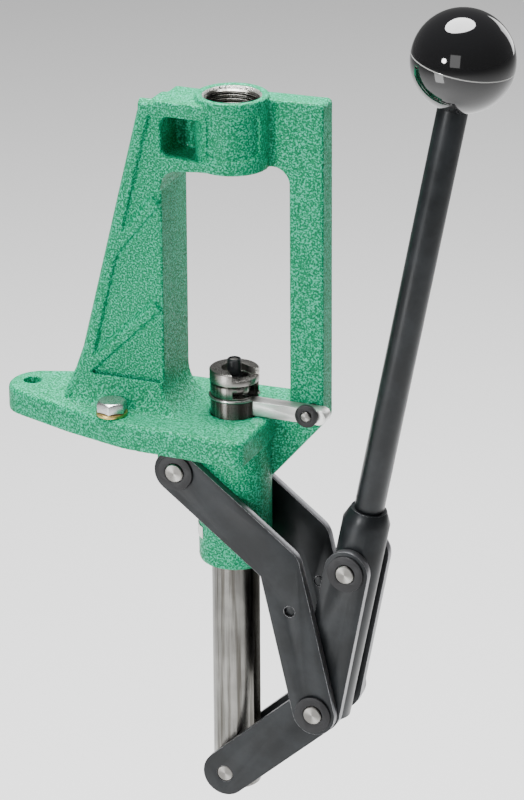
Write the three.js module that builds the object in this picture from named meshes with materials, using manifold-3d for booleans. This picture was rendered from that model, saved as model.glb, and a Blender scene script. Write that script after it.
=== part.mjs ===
// Single-stage O-frame bench press with a compound toggle linkage.
// Millimetres. +Z is up, +X points at the operator, +Y runs along the linkage pins.
// Dimensions are taken from the axis of the ram at the bench face; the finished parts are
// then moved so that the origin is on the bench face, midway between the two bench bolts.
import * as THREE from 'three';
import { mergeVertices } from 'three/addons/utils/BufferGeometryUtils.js';
import Module from 'manifold-3d';

// ---- driving dimensions ----------------------------------------------------

const RUNNING_GAP = 0.1;
const SIDE_GAP = 0.2;
const TOUCH_GAP = 0.3;

// Pivots of the linkage at rest, as [x, z].
const UPPER_PIVOT = [-24.2, -15.6];
const KNUCKLE = [53.6, -142.0];
const BLOCK_PIVOT = [69.5, -60.5];
const RAM_PIVOT = [0, -189.9];
const BALL_CENTRE = [124.5, 219.7];

// Ram and its bore.
const RAM_RADIUS = 12.7;
const RAM_TOP = 31.4;
const RAM_BOTTOM = -201;
const BORE_RADIUS = RAM_RADIUS + RUNNING_GAP;

// Frame casting.
const BASE_THICKNESS = 14;
const BASE_HALF_WIDTH = 42;
const BASE_FRONT = 21;
const BASE_EDGE_ROUND = 2.5;
const EAR_CENTRE = -112;
const EAR_RADIUS = 17.2;
const EAR_HOLE = [-117, 4.9];
const EAR_PAD_RADIUS = 8.8;
const EAR_PAD_HEIGHT = 0.3;
const FRAME_TOP = 185;
const BOSS_TOP = 188;
const BOSS_BOTTOM = 149.5;
const BOSS_RADIUS = 19;
const DIE_THREAD_RADIUS = 14.3;
const DIE_CHAMFER_RADIUS = 15.9;
const CASTING_NEAR = -18;
const CASTING_FAR = 18;
const BEAM_FAR = 10;
const WEB_FAR = -1;
const REAR_FLANGE_BACK = -46;
const RIB_HEIGHT = 2.8;
const RIB_HALF = 3.9;
const RIB_SLOPE = 2.4;
const RIB_STEEP = 0.8;
const COLUMN_NEAR = CASTING_NEAR + RIB_HEIGHT;
const WINDOW_REAR = -33.5;
const WINDOW_FRONT = 29.2;
const FOOT_FLARE = 16;
const FOOT_NEAR = 7;
const FOOT_HEIGHT = 17;
const FOOT_BACK = -84;
const WINDOW_TOP = 149.5;
const WINDOW_CORNER = 11;
const FRONT_PLATE_NEAR = 4.5;
const FRONT_FACE = 48;
const HOUSING_RADIUS = 19.4;
const HOUSING_BOTTOM = -70;
const HOUSING_FLAT = 18.2;
const LUG_RADIUS = 11.5;

// Linkage plates, as distances from the middle plane.
const LINK_INNER = 12.9;
const LINK_OUTER = 17.6;
const ARM_INNER = 18.6;
const ARM_OUTER = 23.3;
const ARM_BEND = [34.4, -60.3];
const ARM_HALF_WIDTH = 11.9;
const ARM_HOLE = [40.1, -84.9, 3.1];
const LINK_RAM_RADIUS = 12.4;
const LINK_KNUCKLE_RADIUS = 12.6;
const LINK_BLOCK_RADIUS = 12.1;

// Pins and their retaining rings.
const PIN_RADIUS = 5.05;
const RAM_PIN_RADIUS = 4.6;
const RING_RADIUS = 10;
const RING_THICKNESS = 1.2;
const PIN_PROUD = 0.9;

// Handle.
const BLOCK_RADIUS = 12.6;
const BLOCK_TOP_RADIUS = 9.6;
const BLOCK_CHAMFER = 7;
const BLOCK_TAIL = 9.8;
const BLOCK_TOP_Z = -29.4;
const ROD_RADIUS = 7.95;
const ROD_STUD_RADIUS = 5;
const ROD_STUD_LENGTH = 14;
const BALL_RADIUS = 26.5;
const BALL_FLAT = 25;

// Bench bolts.
const BOLT_X = -57.5;
const BOLT_Y = 28.6;
const BOLT_RADIUS = 4.7;
const BOLT_HEAD_ACROSS_FLATS = 14.3;
const BOLT_HEAD_HEIGHT = 5.6;
const LOCK_WASHER_RADIUS = 8.3;
const LOCK_WASHER_THICKNESS = 1.9;

// Shell holder and its spring.
const HOLDER_BOTTOM = 31.7;
const HOLDER_TOP = 38.5;
const HOLDER_RADIUS = 13.1;
const HOLDER_FOOT_RADIUS = 8.3;
const HOLDER_NECK_RADIUS = 6.3;
const HOLDER_FOOT_Z = [26, 29];
const HOLDER_TURN = -29;
const SPRING_GROOVE_Z = 23.6;
const SPRING_GROOVE_RADIUS = 11.9;
const SPRING_WIRE_RADIUS = 0.8;
const SPRING_OPENING = 27;

// Priming arm, its pivot and its cup.
const PRIMER_PIVOT = [42.7, 19.4];
const PRIMER_ARM_Z = [14.6, 22.4];
const PRIMER_ARM_HALF = 4;
const PRIMER_ARM_TIP = 52.6;
const PRIMER_SLOT_HALF = 4.5;
const PRIMER_SLOT_BOTTOM = -165;
const PRIMER_PIN_RADIUS = 2.7;
const PRIMER_CLIP_RADIUS = 6.2;
const SLEEVE_RADIUS = 3.7;
const SLEEVE_TOP = 43.5;
const SLEEVE_BORE = 2.6;
const SLEEVE_STEM_RADIUS = 2.6;
const PLUG_RADIUS = 2.3;
const PLUG_Z = [30.5, 43.1];

// Blank rating label, bent round the back of the ram housing.
const LABEL_Z = [-55, -48.5];
const LABEL_ANGLES = [150, 231];
const LABEL_THICKNESS = 0.4;

// ---- materials -------------------------------------------------------------

function finish(color, roughness, metalness) {
  return new THREE.MeshStandardMaterial({ color, roughness, metalness });
}

const GREEN_PAINT = finish(0x27a873, 0.45, 0.1);
const BLACK_OXIDE = finish(0x2b2e31, 0.5, 0.8);
const GROUND_STEEL = finish(0x9a958c, 0.28, 1);
const BRIGHT_STEEL = finish(0xb9b7b2, 0.3, 1);
const ZINC = finish(0xc4c8cb, 0.35, 1);
const YELLOW_ZINC = finish(0xb9973f, 0.4, 1);
const BLACK_BALL = finish(0x0b0c0d, 0.08, 0);
const LABEL_WHITE = finish(0xe8e8e6, 0.6, 0);
const SPRING_STEEL = finish(0x8f8f8a, 0.35, 1);

// ---- solid helpers ---------------------------------------------------------

const wasm = await Module();
wasm.setup();

// Turns a closed three.js geometry into a solid that can be joined and cut.
function solid(geometry) {
  const bare = geometry.index ? geometry.toNonIndexed() : geometry.clone();
  bare.deleteAttribute('normal');
  bare.deleteAttribute('uv');
  const merged = mergeVertices(bare, 1e-4);
  const triangles = [];
  const index = merged.index.array;
  for (let at = 0; at < index.length; at += 3) {
    const [a, b, c] = index.slice(at, at + 3);
    if (a !== b && b !== c && c !== a) triangles.push(a, b, c);
  }
  const mesh = new wasm.Mesh({
    numProp: 3,
    vertProperties: new Float32Array(merged.attributes.position.array),
    triVerts: new Uint32Array(triangles),
  });
  return new wasm.Manifold(mesh);
}

function geometryOf(body) {
  const mesh = body.getMesh();
  const geometry = new THREE.BufferGeometry();
  geometry.setAttribute('position', new THREE.BufferAttribute(new Float32Array(mesh.vertProperties), 3));
  geometry.setIndex(new THREE.BufferAttribute(new Uint32Array(mesh.triVerts), 1));
  geometry.computeVertexNormals();
  return geometry;
}

function join(bodies) {
  return bodies.reduce((whole, body) => whole.add(body));
}

function cut(body, tools) {
  return tools.reduce((rest, tool) => rest.subtract(tool), body);
}

function polygon(points) {
  return new THREE.Shape(points.map(([x, y]) => new THREE.Vector2(x, y)));
}

// An outline in the XZ plane, thickened from y = near to y = far.
function slab(shape, near, far, curveSegments = 12) {
  const geometry = new THREE.ExtrudeGeometry(shape, { depth: far - near, bevelEnabled: false, curveSegments });
  geometry.rotateX(Math.PI / 2);
  geometry.translate(0, far, 0);
  return solid(geometry);
}

// An outline in the XY plane, thickened from z = low to z = high.
function layer(shape, low, high, curveSegments = 12) {
  const geometry = new THREE.ExtrudeGeometry(shape, { depth: high - low, bevelEnabled: false, curveSegments });
  geometry.translate(0, 0, low);
  return solid(geometry);
}

function box(x, y, z) {
  const geometry = new THREE.BoxGeometry(x[1] - x[0], y[1] - y[0], z[1] - z[0]);
  geometry.translate((x[0] + x[1]) / 2, (y[0] + y[1]) / 2, (z[0] + z[1]) / 2);
  return solid(geometry);
}

// A solid of revolution about the Z axis, from a closed [radius, z] profile.
function turned(profile, segments = 48) {
  const points = [...profile, profile[0]].map(([radius, z]) => new THREE.Vector2(radius, z));
  const geometry = new THREE.LatheGeometry(points, segments);
  geometry.rotateX(Math.PI / 2);
  return solid(geometry);
}

// A solid of revolution about the Z axis, from an open profile that starts and ends on the axis.
function turnedSolid(profile, segments = 48) {
  const points = profile.map(([radius, z]) => new THREE.Vector2(radius, z));
  const geometry = new THREE.LatheGeometry(points, segments);
  geometry.rotateX(Math.PI / 2);
  return solid(geometry);
}

function uprightCylinder(radius, low, high, segments = 48) {
  const geometry = new THREE.CylinderGeometry(radius, radius, high - low, segments);
  geometry.rotateX(Math.PI / 2);
  geometry.translate(0, 0, (low + high) / 2);
  return solid(geometry);
}

// A cylinder along Y at [x, z].
function crossCylinder([x, z], radius, near, far, segments = 24) {
  const geometry = new THREE.CylinderGeometry(radius, radius, far - near, segments);
  geometry.translate(x, (near + far) / 2, z);
  return solid(geometry);
}

// The outline round two circles [x, y, radius] and their outer tangents.
function linkOutline(first, second) {
  const [x1, y1, r1] = first;
  const [x2, y2, r2] = second;
  const along = Math.atan2(y2 - y1, x2 - x1);
  const open = Math.acos((r1 - r2) / Math.hypot(x2 - x1, y2 - y1));
  const shape = new THREE.Shape();
  shape.absarc(x1, y1, r1, along + open, along - open + 2 * Math.PI, false);
  shape.absarc(x2, y2, r2, along - open, along + open, false);
  return shape;
}

// A polygon whose corners [x, y, radius] are rounded by arcs of that radius.
function roundedPolygon(corners) {
  const shape = new THREE.Shape();
  const count = corners.length;
  corners.forEach(([x, y, radius], index) => {
    const corner = new THREE.Vector2(x, y);
    const before = new THREE.Vector2(...corners[(index + count - 1) % count].slice(0, 2)).sub(corner);
    const after = new THREE.Vector2(...corners[(index + 1) % count].slice(0, 2)).sub(corner);
    const half = Math.acos(before.clone().normalize().dot(after.clone().normalize())) / 2;
    const back = (radius ?? 0) / Math.tan(half);
    const start = corner.clone().add(before.normalize().multiplyScalar(back));
    const end = corner.clone().add(after.normalize().multiplyScalar(back));
    if (index === 0) shape.moveTo(start.x, start.y);
    else shape.lineTo(start.x, start.y);
    if (back > 0) {
      const middle = before.clone().add(after).normalize().multiplyScalar(radius / Math.sin(half));
      const centre = corner.clone().add(middle);
      const from = Math.atan2(start.y - centre.y, start.x - centre.x);
      const to = Math.atan2(end.y - centre.y, end.x - centre.x);
      const clockwise = new THREE.Vector2().subVectors(start, corner).cross(after) > 0;
      shape.absarc(centre.x, centre.y, radius, from, to, clockwise);
    }
  });
  shape.closePath();
  return shape;
}

// ---- the assembly's list of parts ------------------------------------------

const press = new THREE.Group();

function part(name, body, material) {
  const mesh = new THREE.Mesh(geometryOf(body.translate([-BOLT_X, 0, 0])), material.clone());
  mesh.name = name;
  press.add(mesh);
  return mesh;
}

// ---- frame casting ---------------------------------------------------------

// The base flange's outline: near edge from the ear to the front corner, and its mirror image.
function baseOutline() {
  const nearEdge = [
    [EAR_CENTRE - EAR_RADIUS, -12.1, EAR_RADIUS],
    [-84, -28.8, 60],
    [-46, -39.3, 60],
    [BASE_FRONT, -BASE_HALF_WIDTH, 6],
  ];
  const farEdge = nearEdge.map(([x, y, radius]) => [x, -y, radius]).reverse();
  return roundedPolygon([...nearEdge, ...farEdge]);
}

// The base flange, with its upper rim rounded.
function baseFlange() {
  const height = BASE_THICKNESS - BASE_EDGE_ROUND;
  const geometry = new THREE.ExtrudeGeometry(baseOutline(), {
    depth: height + 20,
    bevelThickness: BASE_EDGE_ROUND,
    bevelSize: BASE_EDGE_ROUND,
    bevelOffset: -BASE_EDGE_ROUND,
    bevelSegments: 3,
    curveSegments: 12,
  });
  geometry.translate(0, 0, -20);
  return solid(geometry).intersect(box([-200, 200], [-100, 100], [0, 50]));
}

// The rear column: a web on the near side and a deep flange along the window.
function rearColumn() {
  const back = [
    [-91, BASE_THICKNESS - 1, 0],
    [-82, 31, 20],
    [-45.5, 177.5, 4],
    [-38.5, FRAME_TOP, 3],
    [WINDOW_REAR, FRAME_TOP, 0],
    [WINDOW_REAR, BASE_THICKNESS - 1, 0],
  ];
  const web = slab(roundedPolygon(back), COLUMN_NEAR, WEB_FAR);
  const flange = slab(polygon([
    [-62, BASE_THICKNESS - 1],
    [REAR_FLANGE_BACK, BASE_THICKNESS + 14],
    [REAR_FLANGE_BACK, 150],
    [-38, FRAME_TOP - 3],
    [WINDOW_REAR, FRAME_TOP - 3],
    [WINDOW_REAR, BASE_THICKNESS - 1],
  ]), WEB_FAR - 1, CASTING_FAR);
  const slope = farSlope(-60, WINDOW_REAR + 1);
  return web.add(flange.subtract(slope));
}

// Cuts the far side back from the casting's full depth to the beam's depth, towards the top.
function farSlope(from, to) {
  const wedge = polygon([
    [CASTING_FAR + 1, 146],
    [CASTING_FAR, 146],
    [BEAM_FAR, FRAME_TOP - 12],
    [BEAM_FAR, FRAME_TOP + 5],
    [CASTING_FAR + 1, FRAME_TOP + 5],
  ]);
  return solid(alongX(wedge, from, to));
}

// An outline given as [y, z], thickened from x = from to x = to.
function alongX(shape, from, to) {
  const geometry = new THREE.ExtrudeGeometry(shape, { depth: to - from, bevelEnabled: false });
  geometry.rotateY(Math.PI / 2);
  geometry.rotateX(Math.PI / 2);
  geometry.translate(from, 0, 0);
  return geometry;
}

// A concave fillet's section in its corner: width out along the base, height up the wall.
function filletSection(width, height, outward) {
  const points = [[-outward, -1], [width * outward, -1]];
  const steps = 8;
  for (let step = 0; step <= steps; step += 1) {
    const angle = (Math.PI / 2) * (step / steps);
    const out = width * (1 - Math.sin(angle));
    const up = height * (1 - Math.cos(angle));
    points.push([out * outward, up]);
  }
  points.push([-outward, height]);
  return points.map(([out, up]) => [out, BASE_THICKNESS + up]);
}

// The flared foot of the rear column: fillets on the near and window sides, mitred at the corner.
function columnFoot() {
  const reach = 40;
  const windowSection = filletSection(FOOT_FLARE, FOOT_HEIGHT, 1).map(([x, z]) => [x + WINDOW_REAR, z]);
  const nearSection = filletSection(FOOT_NEAR, FOOT_HEIGHT, -1).map(([y, z]) => [y + CASTING_NEAR, z]);
  const alongWindow = slab(polygon(windowSection), CASTING_NEAR, CASTING_FAR);
  const windowExtended = slab(polygon(windowSection), -reach, CASTING_FAR);
  const alongNear = solid(alongX(polygon(nearSection), FOOT_BACK, WINDOW_REAR));
  const nearExtended = solid(alongX(polygon(nearSection), FOOT_BACK, reach));
  return join([alongWindow, alongNear, windowExtended.intersect(nearExtended)]);
}

// A straight rib on the near face of the rear column, from one [x, z] to another: its lower
// side is steep and its upper side slopes.
function rib([x1, z1], [x2, z2]) {
  const along = new THREE.Vector3(x2 - x1, 0, z2 - z1);
  const profile = polygon([
    [-RIB_HALF, -1],
    [RIB_HALF, -1],
    [RIB_HALF, 0],
    [RIB_HALF - RIB_SLOPE, RIB_HEIGHT],
    [-RIB_HALF + RIB_STEEP, RIB_HEIGHT],
    [-RIB_HALF, 0],
  ]);
  const geometry = new THREE.ExtrudeGeometry(profile, { depth: along.length(), bevelEnabled: false });
  const outward = new THREE.Vector3(0, -1, 0);
  along.normalize();
  const upward = new THREE.Vector3().crossVectors(outward, along);
  geometry.applyMatrix4(new THREE.Matrix4().makeBasis(upward, outward, along));
  geometry.translate(x1, COLUMN_NEAR, z1);
  return solid(geometry);
}

// The ribs: down the back edge, two rising to the window, one along the foot and one at the top.
function columnRibs() {
  const bars = [
    [[-76.6, 40], [-42.4, 178]],
    [[-82, 26], [-75.9, 43]],
    [[-88, 14], [-81.2, 29]],
    [[-61, 101], [-36.5, 131]],
    [[-78, 32.5], [-36.5, 73.5]],
    [[-83, 17], [WINDOW_REAR, 17]],
    [[-45, 181], [WINDOW_REAR + 1, 181]],
  ];
  return bars.map(([from, to]) => rib(from, to));
}

// The beam from the rear column to the boss, with its arched underside.
function topBeam() {
  const outline = roundedPolygon([
    [WINDOW_REAR - 2, FRAME_TOP, 0],
    [WINDOW_REAR - 2, WINDOW_TOP - WINDOW_CORNER - 2, 0],
    [WINDOW_REAR, WINDOW_TOP - WINDOW_CORNER - 2, 0],
    [WINDOW_REAR + 2.5, WINDOW_TOP - 2, WINDOW_CORNER - 2],
    [-10, WINDOW_TOP, 0],
    [4, WINDOW_TOP, 0],
    [4, FRAME_TOP, 0],
  ]);
  return slab(outline, CASTING_NEAR, BEAM_FAR);
}

// The thinner front side: the top link, the front column and the gusset down to the ram housing.
function frontPlate() {
  const outline = roundedPolygon([
    [0, FRAME_TOP, 0],
    [FRONT_FACE, FRAME_TOP + 1, 2.5],
    [FRONT_FACE, 12, 9],
    [17, -24, 0],
    [8, -24, 0],
    [8, BASE_THICKNESS, 0],
    [WINDOW_FRONT, BASE_THICKNESS, 5],
    [WINDOW_FRONT, WINDOW_TOP, WINDOW_CORNER - 2],
    [0, WINDOW_TOP, 0],
  ]);
  const plate = slab(outline, FRONT_PLATE_NEAR, CASTING_FAR);
  const bevel = polygon([[-3, -1], [3, -1], [0, 4]]).clone();
  const tool = layer(bevel, -40, 200);
  return plate.subtract(tool.rotate([0, 0, 45]).translate([FRONT_FACE + 2.2, FRONT_PLATE_NEAR - 2.2, 0]));
}

function ramHousing() {
  const edge = 3;
  const tube = turnedSolid([
    [0, HOUSING_BOTTOM],
    [HOUSING_RADIUS - edge, HOUSING_BOTTOM],
    [HOUSING_RADIUS - edge * 0.3, HOUSING_BOTTOM + edge * 0.3],
    [HOUSING_RADIUS, HOUSING_BOTTOM + edge],
    [HOUSING_RADIUS, 1],
    [0, 1],
  ], 64);
  const flats = box([-25, 25], [-HOUSING_FLAT, HOUSING_FLAT], [HOUSING_BOTTOM - 1, 2]);
  return tube.intersect(flats);
}

// The lug behind the housing that carries the upper pivot pin.
function pivotLug() {
  const [x, z] = UPPER_PIVOT;
  const outline = roundedPolygon([
    [x - LUG_RADIUS - 1, 1, 0],
    [x - LUG_RADIUS - 1, z - LUG_RADIUS + 1, LUG_RADIUS - 1.5],
    [-8, z - LUG_RADIUS - 6, 0],
    [-8, 1, 0],
  ]);
  return slab(outline, -HOUSING_FLAT, HOUSING_FLAT);
}

// The threaded die bore, with its chamfer.
function dieBore() {
  return turnedSolid([
    [0, BOSS_BOTTOM - 5],
    [DIE_THREAD_RADIUS, BOSS_BOTTOM - 5],
    [DIE_THREAD_RADIUS, BOSS_TOP - 2.3],
    [DIE_CHAMFER_RADIUS, BOSS_TOP + 0.05],
    [DIE_CHAMFER_RADIUS, BOSS_TOP + 5],
    [0, BOSS_TOP + 5],
  ]);
}

// The deep pocket in the near side of the beam, bounded by the boss.
function beamPocket() {
  const outline = roundedPolygon([
    [-32.5, 177, 4],
    [-32.5, 156, 5],
    [-4, 154, 4],
    [-4, 177, 4],
  ]);
  const boss = uprightCylinder(BOSS_RADIUS, BOSS_BOTTOM - 1, BOSS_TOP);
  return slab(outline, CASTING_NEAR - 5, 2.5).subtract(boss);
}

// The shallow panel in the near side of the boss.
function bossPanel() {
  const outline = roundedPolygon([
    [-7, 181, 2],
    [-7, 157, 3],
    [17.5, 157, 5],
    [17.5, 181, 2],
  ]);
  const core = uprightCylinder(BOSS_RADIUS - 1.8, BOSS_BOTTOM, BOSS_TOP);
  return slab(outline, -BOSS_RADIUS - 5, -2).subtract(core);
}

function frameCasting() {
  const body = join([
    baseFlange(),
    uprightCylinder(EAR_PAD_RADIUS, 5, BASE_THICKNESS + EAR_PAD_HEIGHT, 32).translate([EAR_HOLE[0], 0, 0]),
    rearColumn(),
    columnFoot(),
    ...columnRibs(),
    topBeam(),
    frontPlate(),
    uprightCylinder(BOSS_RADIUS, BOSS_BOTTOM, BOSS_TOP, 64),
    ramHousing(),
    pivotLug(),
  ]);
  const holes = [
    dieBore(),
    beamPocket(),
    bossPanel(),
    uprightCylinder(BORE_RADIUS, HOUSING_BOTTOM - 2, BASE_THICKNESS + 2, 64),
    uprightCylinder(EAR_HOLE[1], -1, BASE_THICKNESS + 1, 24).translate([EAR_HOLE[0], 0, 0]),
    crossCylinder(UPPER_PIVOT, PIN_RADIUS + RUNNING_GAP, -25, 25),
    crossCylinder(PRIMER_PIVOT, PRIMER_PIN_RADIUS + TOUCH_GAP, FRONT_PLATE_NEAR - 1, 14.3, 24),
  ];
  for (const side of [-1, 1]) {
    const hole = uprightCylinder(BOLT_RADIUS + 0.4, -1, BASE_THICKNESS + 1, 24);
    const spotFace = uprightCylinder(LOCK_WASHER_RADIUS + 0.8, BASE_THICKNESS, BASE_THICKNESS + 20, 32);
    holes.push(hole.add(spotFace).translate([BOLT_X, side * BOLT_Y, 0]));
  }
  return cut(body, holes);
}

part('frame_casting', frameCasting(), GREEN_PAINT);

// ---- bench bolts, lock washers and label -----------------------------------

function benchBolt() {
  const seat = BASE_THICKNESS + LOCK_WASHER_THICKNESS + 2 * SIDE_GAP;
  const hexRadius = BOLT_HEAD_ACROSS_FLATS / 2 / Math.cos(Math.PI / 6);
  const top = seat + BOLT_HEAD_HEIGHT;
  const hexagon = uprightCylinder(hexRadius, seat, top, 6).rotate([0, 0, 12]);
  const crown = turnedSolid([
    [0, seat - 1],
    [hexRadius + 1, seat - 1],
    [hexRadius + 1, top - 1.8],
    [BOLT_HEAD_ACROSS_FLATS / 2 - 0.6, top],
    [0, top],
  ]);
  const shank = uprightCylinder(BOLT_RADIUS, 0.4, seat + 1, 24);
  return hexagon.intersect(crown).add(shank);
}

function lockWasher() {
  const low = BASE_THICKNESS + SIDE_GAP;
  const inner = BOLT_RADIUS + TOUCH_GAP;
  return turned([
    [inner, low],
    [LOCK_WASHER_RADIUS, low],
    [LOCK_WASHER_RADIUS, low + LOCK_WASHER_THICKNESS],
    [inner, low + LOCK_WASHER_THICKNESS],
  ], 32);
}

for (const [side, name] of [[-1, 'left'], [1, 'right']]) {
  const place = [BOLT_X, side * BOLT_Y, 0];
  part(`bench_bolt_${name}`, benchBolt().translate(place), ZINC);
  part(`lock_washer_${name}`, lockWasher().translate(place), YELLOW_ZINC);
}

function blankLabel() {
  const inner = HOUSING_RADIUS + 0.1;
  const ring = turned([
    [inner, LABEL_Z[0]],
    [inner + LABEL_THICKNESS, LABEL_Z[0]],
    [inner + LABEL_THICKNESS, LABEL_Z[1]],
    [inner, LABEL_Z[1]],
  ], 96);
  const [from, to] = LABEL_ANGLES.map((angle) => (angle * Math.PI) / 180);
  const reach = 60;
  const wedge = new THREE.Shape();
  wedge.moveTo(0, 0);
  wedge.lineTo(reach * Math.cos(from), reach * Math.sin(from));
  wedge.lineTo(-reach, 0);
  wedge.lineTo(reach * Math.cos(to), reach * Math.sin(to));
  wedge.closePath();
  return ring.intersect(layer(wedge, LABEL_Z[0] - 1, LABEL_Z[1] + 1));
}

part('blank_label', blankLabel(), LABEL_WHITE);

// ---- pins and rings --------------------------------------------------------

// A pin along Y with a small chamfer at each end.
function pin(place, radius, near, far) {
  const edge = 0.5;
  const length = far - near;
  const geometry = new THREE.LatheGeometry([
    new THREE.Vector2(0, 0),
    new THREE.Vector2(radius - edge, 0),
    new THREE.Vector2(radius, edge),
    new THREE.Vector2(radius, length - edge),
    new THREE.Vector2(radius - edge, length),
    new THREE.Vector2(0, length),
  ], 24);
  geometry.translate(place[0], near, place[1]);
  return solid(geometry);
}

// A retaining ring along Y, lying on a plate's outer face.
function retainingRing(place, inner, near) {
  const geometry = new THREE.LatheGeometry([
    new THREE.Vector2(inner, 0),
    new THREE.Vector2(RING_RADIUS, 0),
    new THREE.Vector2(RING_RADIUS, RING_THICKNESS),
    new THREE.Vector2(inner, RING_THICKNESS),
    new THREE.Vector2(inner, 0),
  ], 32);
  geometry.translate(place[0], near, place[1]);
  return solid(geometry);
}

const ARM_PIN_END = ARM_OUTER + SIDE_GAP + RING_THICKNESS + PIN_PROUD;
const LINK_PIN_END = LINK_OUTER + SIDE_GAP + RING_THICKNESS + PIN_PROUD;

function ringPair(name, place, face) {
  const inner = PIN_RADIUS + TOUCH_GAP;
  const near = -face - SIDE_GAP - RING_THICKNESS;
  part(`${name}_left`, retainingRing(place, inner, near), BLACK_OXIDE);
  part(`${name}_right`, retainingRing(place, inner, face + SIDE_GAP), BLACK_OXIDE);
}

part('upper_pivot_pin', pin(UPPER_PIVOT, PIN_RADIUS, -ARM_PIN_END, ARM_PIN_END), BRIGHT_STEEL);
ringPair('upper_pin_ring', UPPER_PIVOT, ARM_OUTER);

// ---- toggle arms -----------------------------------------------------------

function toggleArm(near, far) {
  const [bendX, bendZ] = ARM_BEND;
  const top = linkOutline([...UPPER_PIVOT, ARM_HALF_WIDTH], [bendX, bendZ, ARM_HALF_WIDTH]);
  const leg = linkOutline([bendX, bendZ, ARM_HALF_WIDTH], [...KNUCKLE, ARM_HALF_WIDTH]);
  const body = join([slab(top, near, far), slab(leg, near, far)]);
  const [holeX, holeZ, holeRadius] = ARM_HOLE;
  return cut(body, [
    crossCylinder(UPPER_PIVOT, PIN_RADIUS + RUNNING_GAP, near - 1, far + 1),
    crossCylinder(KNUCKLE, PIN_RADIUS + RUNNING_GAP, near - 1, far + 1),
    crossCylinder([holeX, holeZ], holeRadius, near - 1, far + 1, 24),
  ]);
}

// The dowel that fills the arm's middle hole, short of its outer face.
function armDowel(near, far) {
  const [x, z, radius] = ARM_HOLE;
  return crossCylinder([x, z], radius - TOUCH_GAP, near, far, 24);
}

part('toggle_arm_left', toggleArm(-ARM_OUTER, -ARM_INNER), BLACK_OXIDE);
part('toggle_arm_right', toggleArm(ARM_INNER, ARM_OUTER), BLACK_OXIDE);
part('arm_dowel_left', armDowel(-ARM_OUTER + 1.6, -ARM_INNER - 0.1), BLACK_OXIDE);
part('arm_dowel_right', armDowel(ARM_INNER + 0.1, ARM_OUTER - 1.6), BLACK_OXIDE);

// The knuckle pin is in three lengths, because the linkage's loop is open at the knuckle.
part('knuckle_pin_end_left', pin(KNUCKLE, PIN_RADIUS, -ARM_PIN_END, -ARM_INNER), BRIGHT_STEEL);
part('knuckle_pin_end_right', pin(KNUCKLE, PIN_RADIUS, ARM_INNER, ARM_PIN_END), BRIGHT_STEEL);
ringPair('knuckle_ring', KNUCKLE, ARM_OUTER);

// ---- toggle plates, handle block, rod and ball -----------------------------

function togglePlate(near, far) {
  const corner = [...KNUCKLE, LINK_KNUCKLE_RADIUS];
  const lower = linkOutline([...RAM_PIVOT, LINK_RAM_RADIUS], corner);
  const upper = linkOutline(corner, [...BLOCK_PIVOT, LINK_BLOCK_RADIUS]);
  const body = join([slab(lower, near, far), slab(upper, near, far)]);
  return cut(body, [
    crossCylinder(RAM_PIVOT, RAM_PIN_RADIUS + RUNNING_GAP, near - 1, far + 1),
    crossCylinder(KNUCKLE, PIN_RADIUS + RUNNING_GAP, near - 1, far + 1),
    crossCylinder(BLOCK_PIVOT, PIN_RADIUS + RUNNING_GAP, near - 1, far + 1),
  ]);
}

part('toggle_plate_left', togglePlate(-LINK_OUTER, -LINK_INNER), BLACK_OXIDE);
part('toggle_plate_right', togglePlate(LINK_INNER, LINK_OUTER), BLACK_OXIDE);

// The handle's axis runs from the knuckle through the block pivot to the ball.
const handleAxis = new THREE.Vector2(BALL_CENTRE[0] - KNUCKLE[0], BALL_CENTRE[1] - KNUCKLE[1]);
const ballAlong = handleAxis.length();
const handleLean = (Math.atan2(handleAxis.x, handleAxis.y) * 180) / Math.PI;
const blockTopAlong = (BLOCK_TOP_Z - KNUCKLE[1]) / Math.cos((handleLean * Math.PI) / 180);

// Places a solid made along Z, with the knuckle at its origin, on the handle's axis.
function onHandle(body) {
  return body.rotate([0, handleLean, 0]).translate([KNUCKLE[0], 0, KNUCKLE[1]]);
}

function handleBlock() {
  const bar = turnedSolid([
    [0, -BLOCK_TAIL],
    [BLOCK_RADIUS - 3, -BLOCK_TAIL],
    [BLOCK_RADIUS, -BLOCK_TAIL + 3],
    [BLOCK_RADIUS, blockTopAlong - BLOCK_CHAMFER],
    [BLOCK_TOP_RADIUS, blockTopAlong],
    [0, blockTopAlong],
  ]);
  const socket = uprightCylinder(ROD_STUD_RADIUS + TOUCH_GAP, blockTopAlong - ROD_STUD_LENGTH - 1, blockTopAlong + 1, 32);
  return cut(onHandle(bar.subtract(socket)), [
    crossCylinder(KNUCKLE, PIN_RADIUS + RUNNING_GAP, -20, 20),
    crossCylinder(BLOCK_PIVOT, PIN_RADIUS + RUNNING_GAP, -20, 20),
  ]);
}

function handleRod() {
  const low = blockTopAlong + TOUCH_GAP;
  const high = ballAlong - BALL_FLAT - TOUCH_GAP;
  return onHandle(turnedSolid([
    [0, low - ROD_STUD_LENGTH],
    [ROD_STUD_RADIUS, low - ROD_STUD_LENGTH],
    [ROD_STUD_RADIUS, low],
    [ROD_RADIUS, low],
    [ROD_RADIUS, high],
    [ROD_STUD_RADIUS, high],
    [ROD_STUD_RADIUS, high + ROD_STUD_LENGTH],
    [0, high + ROD_STUD_LENGTH],
  ], 40));
}

function ballKnob() {
  const sphere = solid(new THREE.SphereGeometry(BALL_RADIUS, 36, 22).rotateX(Math.PI / 2));
  const flat = box([-40, 40], [-40, 40], [-60, -BALL_FLAT]);
  const socket = uprightCylinder(ROD_STUD_RADIUS + TOUCH_GAP, -60, ROD_STUD_LENGTH - BALL_FLAT + 1, 32);
  return onHandle(cut(sphere, [flat, socket]).translate([0, 0, ballAlong]));
}

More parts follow.
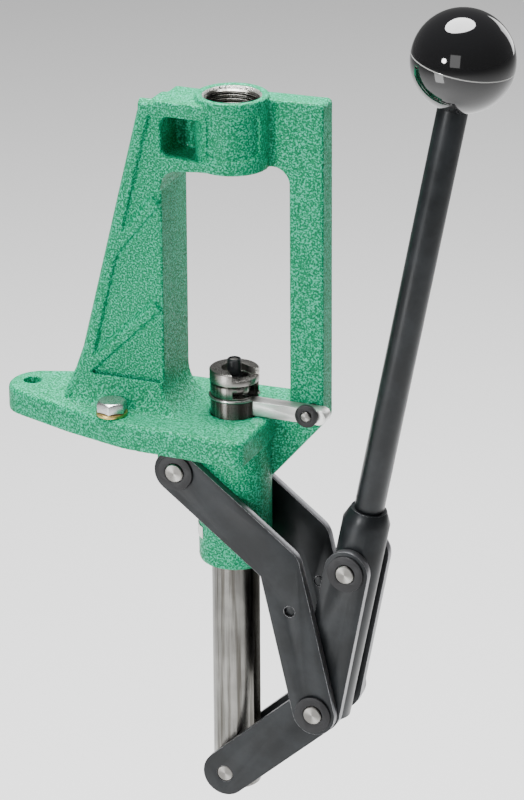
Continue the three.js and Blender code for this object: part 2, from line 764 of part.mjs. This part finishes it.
part('handle_block', handleBlock(), BLACK_OXIDE);
part('handle_rod', handleRod(), BLACK_OXIDE);
part('ball_knob', ballKnob(), BLACK_BALL);
part('knuckle_pin', pin(KNUCKLE, PIN_RADIUS, -LINK_OUTER + 0.1, LINK_OUTER - 0.1), BRIGHT_STEEL);
part('block_pin', pin(BLOCK_PIVOT, PIN_RADIUS, -LINK_PIN_END, LINK_PIN_END), BRIGHT_STEEL);
ringPair('block_pin_ring', BLOCK_PIVOT, LINK_OUTER);

// ---- ram, shell holder and spring ------------------------------------------

// The T-slot across the top of the ram, open towards the operator's left hand.
function holderSlot() {
  const footHalf = HOLDER_FOOT_RADIUS + TOUCH_GAP;
  const neckHalf = HOLDER_NECK_RADIUS + TOUCH_GAP;
  const low = HOLDER_FOOT_Z[0] - TOUCH_GAP;
  const shoulder = HOLDER_FOOT_Z[1] + TOUCH_GAP;
  const open = RAM_RADIUS + 5;
  return join([
    box([0, open], [-footHalf, footHalf], [low, shoulder]),
    uprightCylinder(footHalf, low, shoulder),
    box([0, open], [-neckHalf, neckHalf], [shoulder - 0.1, RAM_TOP + 1]),
    uprightCylinder(neckHalf, shoulder - 0.1, RAM_TOP + 1),
  ]).rotate([0, 0, HOLDER_TURN]);
}

// The slot down the front of the ram that the priming arm swings through.
function primerSlot() {
  const half = PRIMER_SLOT_HALF;
  const low = PRIMER_SLOT_BOTTOM;
  return join([
    uprightCylinder(half, low, RAM_TOP + 1, 32),
    box([0, RAM_RADIUS + 3], [-half, half], [low, RAM_TOP + 1]),
  ]);
}

function ram() {
  const half = 1.1;
  const bar = turnedSolid([
    [0, RAM_BOTTOM],
    [RAM_RADIUS - 1, RAM_BOTTOM],
    [RAM_RADIUS, RAM_BOTTOM + 1],
    [RAM_RADIUS, SPRING_GROOVE_Z - half],
    [SPRING_GROOVE_RADIUS, SPRING_GROOVE_Z - half],
    [SPRING_GROOVE_RADIUS, SPRING_GROOVE_Z + half],
    [RAM_RADIUS, SPRING_GROOVE_Z + half],
    [RAM_RADIUS, RAM_TOP - 0.6],
    [RAM_RADIUS - 0.6, RAM_TOP],
    [0, RAM_TOP],
  ], 64);
  return cut(bar, [
    holderSlot(),
    primerSlot(),
    crossCylinder(RAM_PIVOT, RAM_PIN_RADIUS + RUNNING_GAP, -20, 20),
  ]);
}

function shellHolder() {
  const body = turnedSolid([
    [0, HOLDER_FOOT_Z[0]],
    [HOLDER_FOOT_RADIUS, HOLDER_FOOT_Z[0]],
    [HOLDER_FOOT_RADIUS, HOLDER_FOOT_Z[1]],
    [HOLDER_NECK_RADIUS, HOLDER_FOOT_Z[1]],
    [HOLDER_NECK_RADIUS, HOLDER_BOTTOM],
    [HOLDER_RADIUS - 0.5, HOLDER_BOTTOM],
    [HOLDER_RADIUS, HOLDER_BOTTOM + 0.5],
    [HOLDER_RADIUS, HOLDER_TOP - 0.5],
    [HOLDER_RADIUS - 0.5, HOLDER_TOP],
    [0, HOLDER_TOP],
  ]);
  const rimHalf = 6.8;
  const rimShelf = HOLDER_TOP - 3.4;
  const mouth = polygon([[4, -rimHalf], [HOLDER_RADIUS + 2, -11], [HOLDER_RADIUS + 2, 11], [4, rimHalf]]);
  const caseSlot = join([
    uprightCylinder(rimHalf, rimShelf, HOLDER_TOP + 1, 40),
    box([0, HOLDER_RADIUS + 3], [-rimHalf, rimHalf], [rimShelf, HOLDER_TOP + 1]),
    layer(mouth, rimShelf, HOLDER_TOP + 1),
  ]).rotate([0, 0, HOLDER_TURN]);
  const primerHole = linkOutline([0, 0, 4.3], [3.6, 0, 4.29]);
  return cut(body, [caseSlot, layer(primerHole, HOLDER_FOOT_Z[0] - 1, HOLDER_TOP + 1)]);
}

// A ring of spring wire, open where the priming slot passes.
function holderSpring() {
  const open = (SPRING_OPENING * Math.PI) / 180;
  const wire = new THREE.Shape();
  wire.absarc(0, 0, SPRING_WIRE_RADIUS, 0, 2 * Math.PI, false);
  const points = [];
  const steps = 40;
  const radius = SPRING_GROOVE_RADIUS + SPRING_WIRE_RADIUS + SIDE_GAP;
  for (let step = 0; step <= steps; step += 1) {
    const angle = open + ((2 * Math.PI - 2 * open) * step) / steps;
    points.push(new THREE.Vector3(radius * Math.cos(angle), radius * Math.sin(angle), SPRING_GROOVE_Z));
  }
  const path = new THREE.CatmullRomCurve3(points);
  return solid(new THREE.ExtrudeGeometry(wire, { steps: 48, extrudePath: path, curveSegments: 4 }));
}

part('ram', ram(), GROUND_STEEL);
part('ram_pin', pin(RAM_PIVOT, RAM_PIN_RADIUS, -LINK_OUTER + 0.1, LINK_OUTER - 0.1), BRIGHT_STEEL);
part('shell_holder', shellHolder(), GROUND_STEEL);
part('shell_holder_spring', holderSpring(), SPRING_STEEL);

// ---- priming arm -----------------------------------------------------------

function primerArm() {
  const [low, high] = PRIMER_ARM_Z;
  const half = (high - low) / 2;
  const middle = (low + high) / 2;
  const side = linkOutline([PRIMER_ARM_TIP - half, middle, half], [0, middle, half - 0.001]);
  const bar = slab(side, -PRIMER_ARM_HALF, PRIMER_ARM_HALF);
  const square = box([-10, PRIMER_ARM_TIP - half], [-PRIMER_ARM_HALF, PRIMER_ARM_HALF], [low, high]);
  const plan = linkOutline([0, 0, PRIMER_ARM_HALF], [PRIMER_ARM_TIP + 10, 0, PRIMER_ARM_HALF - 0.001]);
  const body = bar.add(square).intersect(layer(plan, low - 1, high + 1));
  return cut(body, [
    crossCylinder(PRIMER_PIVOT, PRIMER_PIN_RADIUS + RUNNING_GAP, -10, 10, 24),
    uprightCylinder(SLEEVE_STEM_RADIUS + TOUCH_GAP, low - 1, high + 1, 24),
  ]);
}

// The cup: a tube on a stem, bored for the sprung plug.
function primerSleeve() {
  const seat = PRIMER_ARM_Z[1] + TOUCH_GAP;
  return turnedSolid([
    [0, PRIMER_ARM_Z[0] + TOUCH_GAP],
    [SLEEVE_STEM_RADIUS, PRIMER_ARM_Z[0] + TOUCH_GAP],
    [SLEEVE_STEM_RADIUS, seat],
    [SLEEVE_RADIUS, seat],
    [SLEEVE_RADIUS, SLEEVE_TOP - 0.4],
    [SLEEVE_RADIUS - 0.4, SLEEVE_TOP],
    [SLEEVE_BORE, SLEEVE_TOP],
    [SLEEVE_BORE, seat + 1.5],
    [0, seat + 1.5],
  ], 32);
}

function plugSpring() {
  const low = PRIMER_ARM_Z[1] + 2 * TOUCH_GAP + 1.5;
  return turned([
    [1.3, low],
    [2.2, low],
    [2.2, PLUG_Z[0] - TOUCH_GAP],
    [1.3, PLUG_Z[0] - TOUCH_GAP],
  ], 24);
}

part('primer_arm', primerArm(), BRIGHT_STEEL);
part('primer_sleeve', primerSleeve(), BLACK_OXIDE);
part('primer_plug', uprightCylinder(PLUG_RADIUS, PLUG_Z[0], PLUG_Z[1], 24), BRIGHT_STEEL);
part('primer_plug_spring', plugSpring(), SPRING_STEEL);

// The pivot pin, screwed into the front column, and the clip on its near end.
function primerPin() {
  const near = -PRIMER_ARM_HALF - 3.4;
  return pin(PRIMER_PIVOT, PRIMER_PIN_RADIUS, near, 14);
}

function primerClip() {
  const [x, z] = PRIMER_PIVOT;
  const near = -PRIMER_ARM_HALF - SIDE_GAP - 2.2;
  const geometry = new THREE.LatheGeometry([
    new THREE.Vector2(PRIMER_PIN_RADIUS + TOUCH_GAP, 0),
    new THREE.Vector2(PRIMER_CLIP_RADIUS, 0),
    new THREE.Vector2(PRIMER_CLIP_RADIUS, 2.2),
    new THREE.Vector2(PRIMER_PIN_RADIUS + TOUCH_GAP, 2.2),
    new THREE.Vector2(PRIMER_PIN_RADIUS + TOUCH_GAP, 0),
  ], 32);
  geometry.translate(x, near, z);
  return solid(geometry);
}

part('primer_arm_pin', primerPin(), BRIGHT_STEEL);
part('primer_pin_clip', primerClip(), BLACK_OXIDE);

export default press;
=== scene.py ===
"""Looks for the bench press: its materials, the finer pieces, the camera, the floor and the light."""

import math

import bpy
from mathutils import Matrix, Vector

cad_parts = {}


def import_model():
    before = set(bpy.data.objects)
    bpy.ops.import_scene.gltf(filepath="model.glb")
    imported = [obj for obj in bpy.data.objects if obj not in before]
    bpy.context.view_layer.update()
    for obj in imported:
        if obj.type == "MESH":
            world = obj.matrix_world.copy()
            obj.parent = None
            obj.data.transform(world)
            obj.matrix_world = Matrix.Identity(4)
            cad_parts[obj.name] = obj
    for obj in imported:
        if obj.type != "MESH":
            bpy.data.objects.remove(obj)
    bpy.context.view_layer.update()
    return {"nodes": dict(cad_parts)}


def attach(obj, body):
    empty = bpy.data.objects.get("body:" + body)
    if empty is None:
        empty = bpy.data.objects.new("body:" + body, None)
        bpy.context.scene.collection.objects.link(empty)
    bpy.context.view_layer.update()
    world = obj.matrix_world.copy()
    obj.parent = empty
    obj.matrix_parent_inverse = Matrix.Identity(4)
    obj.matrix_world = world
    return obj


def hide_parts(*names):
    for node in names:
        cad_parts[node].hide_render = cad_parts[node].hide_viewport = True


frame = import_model()
nodes = frame["nodes"]

MM = 0.001
RAM_X = 57.5 * MM

# Places that the finer pieces need, in metres, in the row frame.
RAM_AXIS = Vector((RAM_X, 0, 0))
BALL_CENTRE = RAM_AXIS + Vector((0.1245, 0, 0.2197))
KNUCKLE = RAM_AXIS + Vector((0.0536, 0, -0.142))
HANDLE_DIRECTION = (BALL_CENTRE - KNUCKLE).normalized()
BALL_RADIUS = 26.5 * MM
BALL_FLAT = 25 * MM

# The floor lies below the lowest swing of the handle.
FLOOR_Z = -0.46
FLOOR_HALF_SIZE = 8

# Inside the boss the casting is bored bare, in millimetres from the ram's axis and from the bench.
BARE_RADIUS_MM = 15.4
BARE_BOTTOM_MM = 150.2

# The die thread: 12 turns to the inch, between the foot of the boss and its chamfer.
THREAD_PITCH = 25.4 / 12 * MM
THREAD_CREST = 13.25 * MM
THREAD_ROOT = 14.35 * MM
THREAD_BOTTOM = 151.5 * MM
THREAD_TOP = 186 * MM

# The camera, in degrees, metres and millimetres of lens.
AZIMUTH, ELEVATION, ROLL = 22.81, 21.983, -0.334
CAMERA_DISTANCE = 2.2185
TARGET_HEIGHT = 0.0199
TARGET_RIGHT = 0.014314
LENS, SENSOR = 191.04, 36

WELD_DISTANCE = 1e-5
SHARP_ANGLE = 32
BEVEL_ANGLE = 35
FLAT_ANGLE = 0.5


# ---- node graphs -----------------------------------------------------------

class Graph:
    """A material's node graph, with short calls for the nodes used here."""

    def __init__(self, name):
        self.material = bpy.data.materials.new(name)
        self.material.use_nodes = True
        self.tree = self.material.node_tree
        self.tree.nodes.clear()
        self.coordinates = self.node("ShaderNodeTexCoord")

    def node(self, kind, **settings):
        made = self.tree.nodes.new(kind)
        for key, value in settings.items():
            setattr(made, key, value)
        return made

    def put(self, socket, value):
        if isinstance(value, bpy.types.NodeSocket):
            self.tree.links.new(value, socket)
        elif value is not None:
            socket.default_value = value

    def point(self, scale=(1, 1, 1), source="Object"):
        """Coordinates in millimetres of the row frame, stretched by scale."""
        mapping = self.node("ShaderNodeMapping")
        self.put(mapping.inputs["Vector"], self.coordinates.outputs[source])
        unit = 1000 if source == "Object" else 1
        mapping.inputs["Scale"].default_value = [unit * s for s in scale]
        return mapping.outputs["Vector"]

    def noise(self, frequency, detail=2.0, scale=(1, 1, 1), roughness=0.5):
        made = self.node("ShaderNodeTexNoise")
        self.put(made.inputs["Vector"], self.point(scale))
        made.inputs["Scale"].default_value = frequency
        made.inputs["Detail"].default_value = detail
        made.inputs["Roughness"].default_value = roughness
        return made.outputs["Fac"]

    def ramp(self, value, low, high, start=0.0, end=1.0):
        """Maps low..high to start..end, smoothly and clamped."""
        made = self.node("ShaderNodeMapRange", interpolation_type="SMOOTHSTEP")
        self.put(made.inputs["Value"], value)
        for key, number in (("From Min", low), ("From Max", high), ("To Min", start), ("To Max", end)):
            made.inputs[key].default_value = number
        return made.outputs["Result"]

    def math(self, operation, first, second=None):
        made = self.node("ShaderNodeMath", operation=operation)
        self.put(made.inputs[0], first)
        self.put(made.inputs[1], second)
        return made.outputs[0]

    def mix(self, factor, first, second):
        made = self.node("ShaderNodeMix", data_type="RGBA")
        self.put(made.inputs["Factor"], factor)
        self.put(made.inputs[6], first if isinstance(first, bpy.types.NodeSocket) else (*first, 1))
        self.put(made.inputs[7], second if isinstance(second, bpy.types.NodeSocket) else (*second, 1))
        return made.outputs[2]

    def split(self, vector):
        made = self.node("ShaderNodeSeparateXYZ")
        self.put(made.inputs[0], vector)
        return made.outputs

    def bump(self, height, strength, distance_mm):
        made = self.node("ShaderNodeBump")
        self.put(made.inputs["Height"], height)
        made.inputs["Strength"].default_value = strength
        made.inputs["Distance"].default_value = distance_mm * MM
        return made.outputs["Normal"]

    def surface(self, base, roughness, metallic=0.0, normal=None, ior=1.5):
        shader = self.node("ShaderNodeBsdfPrincipled")
        colour = base if isinstance(base, bpy.types.NodeSocket) else (*base, 1)
        self.put(shader.inputs["Base Color"], colour)
        self.put(shader.inputs["Roughness"], roughness)
        self.put(shader.inputs["Metallic"], metallic)
        self.put(shader.inputs["Normal"], normal)
        self.put(shader.inputs["IOR"], ior)
        output = self.node("ShaderNodeOutputMaterial")
        self.put(output.inputs["Surface"], shader.outputs[0])
        return self.material


# ---- materials -------------------------------------------------------------

def hammered_green():
    """Hammered green enamel: glossy crowns painted paler, partly a second paint tone and partly a painted
    glint, in duller hollows painted deeper green as painted shade.
    """
    graph = Graph("hammered_green")
    pebble = graph.noise(1.05, 1.6, roughness=0.5)
    broad = graph.noise(0.03, 3.0)
    crown = graph.ramp(pebble, 0.51, 0.60)
    green = graph.mix(broad, (0.0, 0.205, 0.084), (0.0, 0.25, 0.106))
    # Crowns painted paler: partly the paint's second tone, partly a painted glint.
    paint = graph.mix(crown, green, (0.045, 0.45, 0.275))
    # Pebble hollows painted deeper green: painted shade in the low spots of the bump.
    painted_hollow_shade = graph.ramp(pebble, 0.36, 0.46, 0.6, 0.0)
    paint = graph.mix(painted_hollow_shade, paint, (0.0, 0.075, 0.03))
    roughness = graph.ramp(crown, 0, 1, 0.55, 0.17)
    axis = graph.split(graph.point())
    from_axis = graph.math("SUBTRACT", axis[0], RAM_X / MM)
    radius = graph.math("SQRT", graph.math("ADD", graph.math("MULTIPLY", from_axis, from_axis),
                                           graph.math("MULTIPLY", axis[1], axis[1])))
    inside = graph.math("LESS_THAN", radius, BARE_RADIUS_MM)
    high = graph.math("GREATER_THAN", axis[2], BARE_BOTTOM_MM)
    bare = graph.math("MULTIPLY", inside, high)
    base = graph.mix(bare, paint, (0.62, 0.61, 0.58))
    relief = graph.math("ADD", graph.math("MULTIPLY", crown, 0.05), graph.math("MULTIPLY", pebble, 0.25))
    return graph.surface(base, roughness, metallic=bare, normal=graph.bump(relief, 1.0, 1.0), ior=1.24)


def steel(name, colour, roughness, scale, grain_strength, grain_frequency=4.0, streaks=0.0):
    """Machined or drawn steel: grain stretched across one axis, faint stains and long streaks."""
    graph = Graph(name)
    grain = graph.noise(grain_frequency, 3.0, scale=scale)
    stain = graph.noise(0.06, 4.0)
    darker = tuple(0.7 * c for c in colour)
    base = graph.mix(graph.ramp(stain, 0.35, 0.7), darker, colour)
    if streaks:
        streak = graph.noise(0.45, 3.0, scale=(1, 1, 0.03), roughness=0.6)
        base = graph.mix(graph.ramp(streak, 0.40, 0.64, 0.0, streaks), base, (0.055, 0.05, 0.042))
    rough = graph.ramp(grain, 0.3, 0.7, roughness * 0.8, roughness * 1.25)
    normal = graph.bump(grain, grain_strength, 0.05)
    return graph.surface(base, rough, metallic=1.0, normal=normal)


def black_oxide(name, scale, roughness, colour=(0.0085, 0.0098, 0.011), side_highlight=0.0):
    """Black oxide over machined steel: dark, satin, unevenly clouded, with a plate's narrow sides painted
    lighter and more metallic as a painted highlight.
    """
    graph = Graph(name)
    grain = graph.noise(3.0, 3.0, scale=scale)
    cloud = graph.noise(0.05, 5.0, roughness=0.6)
    lighter = tuple(2.0 * c for c in colour)
    base = graph.mix(graph.ramp(cloud, 0.38, 0.68), colour, lighter)
    normal_y = graph.split(graph.node("ShaderNodeNewGeometry").outputs["Normal"])[1]
    # A plate's narrow sides painted lighter grey and more metallic: a painted highlight along the edges.
    side = graph.ramp(graph.math("ABSOLUTE", normal_y), 0.3, 0.7, side_highlight, 0.0)
    base = graph.mix(side, base, (0.17, 0.17, 0.18))
    metallic = graph.math("ADD", graph.math("MULTIPLY", side, 0.7), 0.2)
    rough = graph.ramp(graph.math("ADD", grain, cloud), 0.7, 1.3, roughness * 0.85, roughness * 1.2)
    normal = graph.bump(grain, 0.25, 0.03)
    return graph.surface(base, rough, metallic=metallic, normal=normal, ior=1.38)


def worn_and_highlit_edge():
    """Steel showing through the black at the plates' edges, partly wear and partly a painted highlight on the
    edges.
    """
    graph = Graph("worn_and_highlit_edge")
    # Lighter steel on the bevels: partly rubbed wear, partly a painted highlight.
    rub_and_sheen = graph.ramp(graph.noise(0.8, 4.0), 0.35, 0.65)
    base = graph.mix(rub_and_sheen, (0.10, 0.10, 0.11), (0.42, 0.42, 0.43))
    return graph.surface(base, graph.ramp(rub_and_sheen, 0, 1, 0.42, 0.3), metallic=0.8)


def turned_end():
    """Bright pin: rings turned into its ends, and a painted highlight streak across them."""
    graph = Graph("turned_end")
    across = graph.split(graph.point(source="Generated"))
    x = graph.math("SUBTRACT", across[0], 0.5)
    z = graph.math("SUBTRACT", across[2], 0.5)
    radius = graph.math("SQRT", graph.math("ADD", graph.math("MULTIPLY", x, x), graph.math("MULTIPLY", z, z)))
    rings = graph.math("SINE", graph.math("MULTIPLY", radius, 95.0))
    angle = graph.math("ARCTAN2", z, x)
    # A painted highlight: a lighter streak across the end face at one angle.
    streak = graph.math("ABSOLUTE", graph.math("SINE", graph.math("ADD", angle, 0.9)))
    highlight_streak_tint = graph.mix(graph.ramp(streak, 0.0, 0.9), (0.42, 0.41, 0.39), (0.17, 0.165, 0.155))
    ringed = graph.mix(graph.ramp(rings, -1, 1, 0.0, 0.35), highlight_streak_tint, (0.1, 0.095, 0.09))
    smudge = graph.noise(0.25, 3.0)
    return graph.surface(ringed, graph.ramp(smudge, 0.3, 0.7, 0.3, 0.4), metallic=1.0,
                         normal=graph.bump(rings, 0.35, 0.04))


def ball_resin():
    """Polished black phenolic, with the mould's parting line round the middle."""
    graph = Graph("ball_resin")
    centre = graph.node("ShaderNodeVectorMath", operation="SUBTRACT")
    graph.put(centre.inputs[0], graph.point())
    centre.inputs[1].default_value = BALL_CENTRE / MM
    along = graph.node("ShaderNodeVectorMath", operation="DOT_PRODUCT")
    graph.put(along.inputs[0], centre.outputs[0])
    along.inputs[1].default_value = HANDLE_DIRECTION
    height = graph.math("ABSOLUTE", along.outputs["Value"])
    seam = graph.ramp(height, 0.12, 0.45, 1.0, 0.0)
    base = graph.mix(seam, (0.004, 0.004, 0.0045), (0.35, 0.35, 0.34))
    haze = graph.ramp(graph.noise(0.08, 4.0), 0.35, 0.7, 0.03, 0.07)
    normal = graph.bump(seam, 0.6, 0.1)
    return graph.surface(base, haze, normal=normal, ior=1.6)


def label_film():
    graph = Graph("label_film")
    base = graph.mix(graph.noise(0.6, 3.0), (0.72, 0.72, 0.70), (0.82, 0.82, 0.80))
    return graph.surface(base, graph.ramp(graph.noise(2.0), 0.3, 0.7, 0.4, 0.55),
                         normal=graph.bump(graph.noise(1.5), 0.1, 0.05))


# ---- meshes ----------------------------------------------------------------

def smooth_by_angle():
    """A geometry node group that shades smooth except across sharp edges."""
    group = bpy.data.node_groups.new("smooth_by_angle", "GeometryNodeTree")
    group.interface.new_socket("Geometry", in_out="INPUT", socket_type="NodeSocketGeometry")
    group.interface.new_socket("Geometry", in_out="OUTPUT", socket_type="NodeSocketGeometry")
    start = group.nodes.new("NodeGroupInput")
    end = group.nodes.new("NodeGroupOutput")
    faces = group.nodes.new("GeometryNodeSetShadeSmooth")
    edges = group.nodes.new("GeometryNodeSetShadeSmooth")
    edges.domain = "EDGE"
    edges.inputs["Shade Smooth"].default_value = False
    angle = group.nodes.new("GeometryNodeInputMeshEdgeAngle")
    sharp = group.nodes.new("FunctionNodeCompare")
    sharp.operation = "GREATER_THAN"
    sharp.inputs[1].default_value = math.radians(SHARP_ANGLE)
    link = group.links.new
    link(start.outputs[0], faces.inputs["Geometry"])
    link(faces.outputs[0], edges.inputs["Geometry"])
    link(angle.outputs["Unsigned Angle"], sharp.inputs[0])
    link(sharp.outputs[0], edges.inputs["Selection"])
    link(edges.outputs[0], end.inputs[0])
    return group


SMOOTHING = smooth_by_angle()


def start_piece(name, material):
    """Gives a CAD node its material and joins its split vertices."""
    piece = nodes[name]
    piece.data.materials.clear()
    piece.data.materials.append(material)
    weld = piece.modifiers.new("weld", "WELD")
    weld.merge_threshold = WELD_DISTANCE
    return piece


def shade(piece):
    smooth = piece.modifiers.new("smooth", "NODES")
    smooth.node_group = SMOOTHING


def dress(name, material, edge_mm=0.0, edge_material=None):
    """Gives a CAD node its material, rounds its sharp edges and shades it smoothly."""
    piece = start_piece(name, material)
    flatten = piece.modifiers.new("flatten", "DECIMATE")
    flatten.decimate_type = "DISSOLVE"
    flatten.angle_limit = math.radians(FLAT_ANGLE)
    if edge_mm:
        bevel = piece.modifiers.new("edges", "BEVEL")
        bevel.width = edge_mm * MM
        bevel.segments = 2
        bevel.limit_method = "ANGLE"
        bevel.angle_limit = math.radians(BEVEL_ANGLE)
        bevel.use_clamp_overlap = True
        if edge_material:
            piece.data.materials.append(edge_material)
            bevel.material = 1
    shade(piece)


def cast(name, material):
    """Gives the casting soft, rounded edges and corners by remeshing and relaxing it."""
    piece = start_piece(name, material)
    remesh = piece.modifiers.new("remesh", "REMESH")
    remesh.mode = "VOXEL"
    remesh.voxel_size = 0.55 * MM
    relax = piece.modifiers.new("relax", "SMOOTH")
    relax.factor = 0.5
    relax.iterations = 12
    shade(piece)


def mesh_object(name, vertices, faces, material, smooth=True):
    mesh = bpy.data.meshes.new(name)
    mesh.from_pydata(vertices, [], faces)
    mesh.materials.append(material)
    if smooth:
        mesh.shade_smooth()
    else:
        mesh.shade_flat()
    made = bpy.data.objects.new(name, mesh)
    bpy.context.scene.collection.objects.link(made)
    return made


def ball(material):
    """The ball as a finer sphere, flat where the rod enters it."""
    segments, rings = ((128, 80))
    start = math.acos(BALL_FLAT / BALL_RADIUS)
    turn = HANDLE_DIRECTION.to_track_quat("Z", "Y").to_matrix()
    vertices = [BALL_CENTRE - HANDLE_DIRECTION * BALL_FLAT]
    for ring in range(rings):
        angle = start + (math.pi - start) * ring / rings
        for step in range(segments):
            around = 2 * math.pi * step / segments
            local = Vector((math.sin(angle) * math.cos(around),
                            math.sin(angle) * math.sin(around),
                            -math.cos(angle)))
            vertices.append(BALL_CENTRE + turn @ (local * BALL_RADIUS))
    vertices.append(BALL_CENTRE + HANDLE_DIRECTION * BALL_RADIUS)
    faces = []
    for step in range(segments):
        after = (step + 1) % segments
        faces.append((0, 1 + after, 1 + step))
        for ring in range(rings - 1):
            low, high = 1 + ring * segments, 1 + (ring + 1) * segments
            faces.append((low + step, low + after, high + after, high + step))
        last = 1 + (rings - 1) * segments
        faces.append((last + step, last + after, len(vertices) - 1))
    return mesh_object("fine_ball", vertices, faces, material)


def thread(material):
    """The die thread as a helical ridge inside the boss."""
    steps = 72
    turns = int((THREAD_TOP - THREAD_BOTTOM) / THREAD_PITCH)
    profile = ((0.0, THREAD_ROOT), (0.38, THREAD_CREST), (0.5, THREAD_CREST), (0.88, THREAD_ROOT))
    vertices, faces = [], []
    for step in range(turns * steps + 1):
        around = 2 * math.pi * step / steps
        rise = THREAD_BOTTOM + THREAD_PITCH * step / steps
        for share, radius in profile:
            height = rise + share * THREAD_PITCH
            vertices.append((RAM_X + radius * math.cos(around), radius * math.sin(around), height))
    for step in range(turns * steps):
        for k in range(len(profile) - 1):
            a = step * len(profile) + k
            b = a + len(profile)
            faces.append((a, a + 1, b + 1, b))
    return mesh_object("die_thread", vertices, faces, material, smooth=False)


# ---- dressing the press ----------------------------------------------------

green = hammered_green()
ground = steel("ground_steel", (0.24, 0.235, 0.22), 0.25, (0.4, 0.4, 6), 0.25, streaks=0.8)
holder = steel("holder_steel", (0.34, 0.33, 0.31), 0.26, (0.4, 0.4, 6), 0.3)
milled = steel("milled_steel", (0.78, 0.78, 0.76), 0.4, (0.3, 3, 3), 0.3)
zinc = steel("zinc_plate", (0.66, 0.67, 0.66), 0.3, (1, 1, 1), 0.3, 1.5)
yellow = steel("yellow_zinc", (0.62, 0.46, 0.17), 0.34, (1, 1, 1), 0.3, 1.5)
wire = steel("spring_wire", (0.5, 0.5, 0.48), 0.3, (1, 1, 1), 0.1)
# The plates' narrow sides carry the painted highlight.
plate_black = black_oxide("plate_black", (0.6, 0.6, 0.6), 0.36, side_highlight=1.0)
bar_black = black_oxide("bar_black", (0.5, 0.5, 5), 0.33)
ring_black = black_oxide("ring_black", (1, 1, 1), 0.4, (0.012, 0.012, 0.013))
# Bevel material: partly wear, partly a painted highlight on the edges.
edge = worn_and_highlit_edge()
bright = turned_end()

cast("frame_casting", green)
dress("ram", ground, 0.3)
dress("shell_holder", holder, 0.25)
dress("shell_holder_spring", wire)
dress("ram_pin", bright)
dress("primer_arm", milled, 0.5)
dress("primer_sleeve", bar_black)
dress("primer_plug", bright, 0.2)
dress("primer_plug_spring", wire)
dress("blank_label", label_film())
dress("handle_rod", bar_black, 0.4)
dress("handle_block", bar_black, 0.4, edge)
for side in ("left", "right"):
    dress(f"toggle_arm_{side}", plate_black, 0.45, edge)
    dress(f"toggle_plate_{side}", plate_black, 0.4, edge)
    dress(f"arm_dowel_{side}", bar_black, 0.4)
    dress(f"bench_bolt_{side}", zinc, 0.25)
    dress(f"lock_washer_{side}", yellow, 0.25)
    dress(f"knuckle_pin_end_{side}", bright)
    for ring in ("upper_pin_ring", "knuckle_ring", "block_pin_ring"):
        dress(f"{ring}_{side}", ring_black, 0.25)
for pin in ("upper_pivot_pin", "knuckle_pin", "block_pin", "primer_arm_pin"):
    dress(pin, bright)
dress("primer_pin_clip", ring_black, 0.25)
dress("ball_knob", bar_black)

fine_ball = ball(ball_resin())
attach(fine_ball, "handle")
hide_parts("ball_knob")

die_thread = thread(ground)
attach(die_thread, "frame")


# ---- camera, floor and light -----------------------------------------------

def camera():
    """Looks from the front, a little round towards the handle and from above."""
    azimuth, elevation, roll = (math.radians(angle) for angle in (AZIMUTH, ELEVATION, ROLL))
    right = Vector((math.cos(azimuth), math.sin(azimuth), 0))
    back = Vector((math.sin(azimuth) * math.cos(elevation), -math.cos(azimuth) * math.cos(elevation),
                   math.sin(elevation)))
    up = back.cross(right)
    target = RAM_AXIS + Vector((0, 0, TARGET_HEIGHT)) + right * TARGET_RIGHT
    across = right * math.cos(roll) + up * math.sin(roll)
    above = up * math.cos(roll) - right * math.sin(roll)
    data = bpy.data.cameras.new("camera")
    data.lens = LENS
    data.sensor_width = SENSOR
    made = bpy.data.objects.new("camera", data)
    turn = Matrix((across, above, back)).transposed().to_4x4()
    made.matrix_world = Matrix.Translation(target + back * CAMERA_DISTANCE) @ turn
    bpy.context.scene.collection.objects.link(made)
    bpy.context.scene.camera = made
    return right, up, back, target


RIGHT, UP, BACK, TARGET = camera()


def softbox(name, place, size, power, shape="RECTANGLE"):
    """A flat lamp at place, facing the press."""
    data = bpy.data.lights.new(name, "AREA")
    data.shape = shape
    data.size, data.size_y = size
    data.energy = power
    made = bpy.data.objects.new(name, data)
    made.location = place
    made.rotation_euler = (TARGET - Vector(place)).to_track_quat("-Z", "Y").to_euler()
    bpy.context.scene.collection.objects.link(made)


def seen_from(across, above, towards, distance):
    """The place at that distance from the press, in a direction given as the camera sees it."""
    direction = (RIGHT * across + UP * above + BACK * towards).normalized()
    return TARGET + direction * distance


def floor():
    graph = Graph("floor")
    base = graph.mix(graph.noise(0.002, 2.0), (0.86, 0.86, 0.86), (0.9, 0.9, 0.9))
    material = graph.surface(base, 0.7, normal=graph.bump(graph.noise(0.3), 0.05, 0.1))
    size = FLOOR_HALF_SIZE
    corners = [(x, y, FLOOR_Z) for x, y in ((-size, -size), (size, -size), (size, size), (-size, size))]
    mesh_object("floor", corners, [(0, 1, 2, 3)], material, smooth=False)


def world():
    made = bpy.data.worlds.new("studio")
    made.use_nodes = True
    made.node_tree.nodes["Background"].inputs["Color"].default_value = (1, 1, 1, 1)
    made.node_tree.nodes["Background"].inputs["Strength"].default_value = 0.2
    bpy.context.scene.world = made


floor()
world()
softbox("overhead", seen_from(-0.03, 0.97, 0.24, 1.6), (1.3, 1.1), 112, "ELLIPSE")
softbox("left_lamp", seen_from(-0.64, 0.02, 0.77, 2.0), (0.34, 0.34), 22, "ELLIPSE")
softbox("fill_panel", seen_from(-0.29, -0.04, 0.95, 2.4), (0.9, 1.1), 7)
softbox("low_lamp", RAM_AXIS + Vector((-0.33, -0.68, -0.14)), (0.30, 0.30), 1.6)
softbox("rear_panel", seen_from(0.60, 0.50, -0.66, 1.3), (0.5, 0.6), 4)
